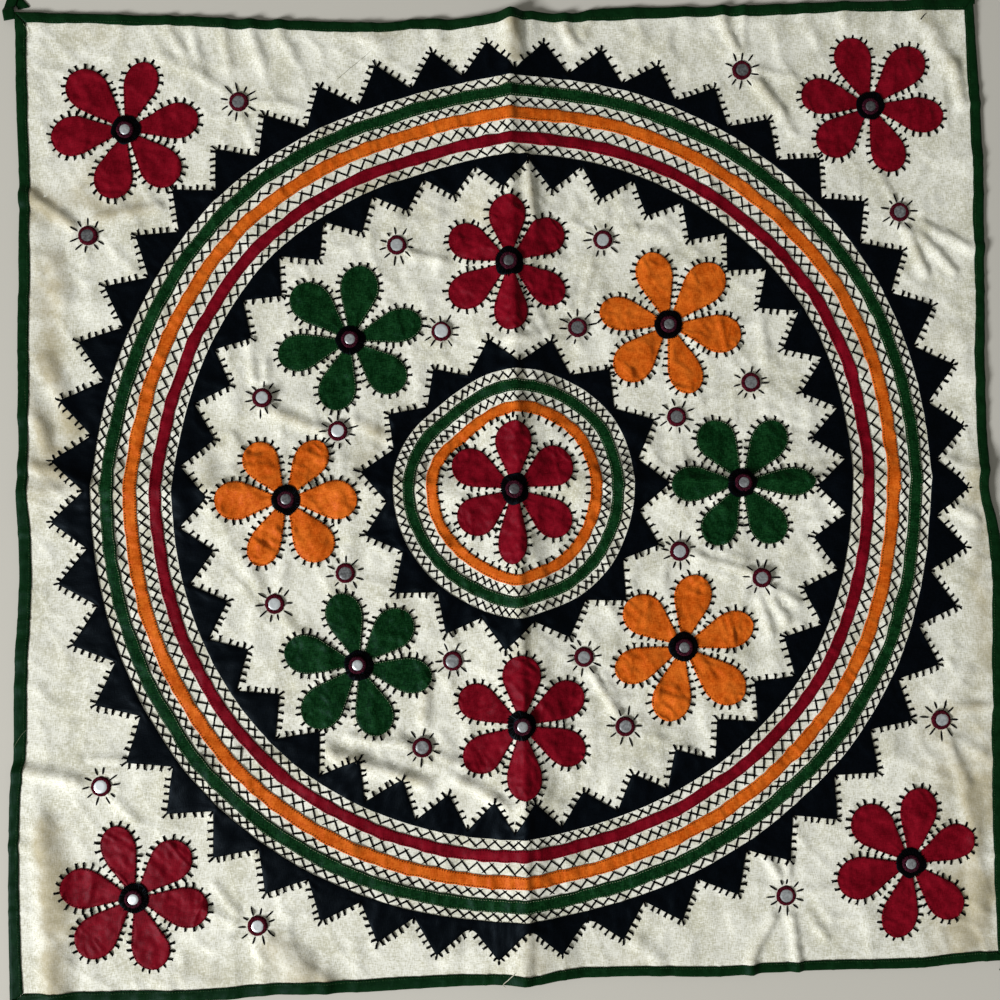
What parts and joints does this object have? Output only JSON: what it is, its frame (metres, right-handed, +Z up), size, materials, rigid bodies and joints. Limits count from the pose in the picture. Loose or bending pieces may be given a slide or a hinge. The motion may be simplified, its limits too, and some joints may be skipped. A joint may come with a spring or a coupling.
{
  "type": "applique and mirror work wall hanging",
  "caption": "Square cotton wall hanging lying flat: cream ground bound in green tape with corner loops, saw-tooth rings, sewn tapes, applique flowers and small round mirrors.",
  "frame": {"origin": "middle of the base of the bounding box, on the surface that the hanging lies on", "axes": "+Z up out of the worked face, +Y towards the top edge, +X towards the right edge"},
  "size_m": [0.956, 0.9988, 0.0131],
  "materials": {
    "cream_cotton": "plain woven cotton, creased and lightly soiled",
    "black_cotton": "plain woven blue-black cotton, matt",
    "green_cotton": "plain woven deep green cotton",
    "orange_cotton": "plain woven orange cotton with a slight sheen",
    "red_cotton": "plain woven crimson cotton",
    "mirror_glass": "small silvered glass, cloudy with age",
    "black_thread": "black cotton embroidery thread",
    "maroon_thread": "maroon embroidery thread",
    "pale_thread": "pale sewing thread"
  },
  "bodies": {
    "root": {"ground_cloth": "cream_cotton", "binding_left": "green_cotton", "binding_right": "green_cotton", "binding_bottom": "green_cotton", "binding_top": "green_cotton", "loop_top_left": "green_cotton", "loop_top_right": "green_cotton", "loop_bottom_left": "green_cotton", "loop_bottom_right": "green_cotton", "sawtooth_outer": "black_cotton", "sawtooth_inner": "black_cotton", "sawtooth_centre": "black_cotton", "tape_green": "green_cotton", "tape_orange": "orange_cotton", "tape_red": "red_cotton", "tape_centre_green": "green_cotton", "tape_centre_orange": "orange_cotton", "flower_red_top_left": "red_cotton", "flower_red_top_right": "red_cotton", "flower_red_bottom_left": "red_cotton", "flower_red_bottom_right": "red_cotton", "flower_red_north": "red_cotton", "flower_red_south": "red_cotton", "flower_red_middle": "red_cotton", "flower_green_north_west": "green_cotton", "flower_green_east": "green_cotton", "flower_green_south_west": "green_cotton", "flower_orange_north_east": "orange_cotton", "flower_orange_west": "orange_cotton", "flower_orange_south_east": "orange_cotton", "centre_top_left": "black_cotton", "centre_top_right": "black_cotton", "centre_bottom_left": "black_cotton", "centre_bottom_right": "black_cotton", "centre_north": "black_cotton", "centre_south": "black_cotton", "centre_middle": "black_cotton", "centre_north_west": "black_cotton", "centre_east": "black_cotton", "centre_south_west": "black_cotton", "centre_north_east": "black_cotton", "centre_west": "black_cotton", "centre_south_east": "black_cotton", "mirror_top_left": "mirror_glass", "mirror_top_right": "mirror_glass", "mirror_bottom_left": "mirror_glass", "mirror_bottom_right": "mirror_glass", "mirror_north": "mirror_glass", "mirror_south": "mirror_glass", "mirror_middle": "mirror_glass", "mirror_north_west": "mirror_glass", "mirror_east": "mirror_glass", "mirror_south_west": "mirror_glass", "mirror_north_east": "mirror_glass", "mirror_west": "mirror_glass", "mirror_south_east": "mirror_glass"}
  },
  "joints": []
}
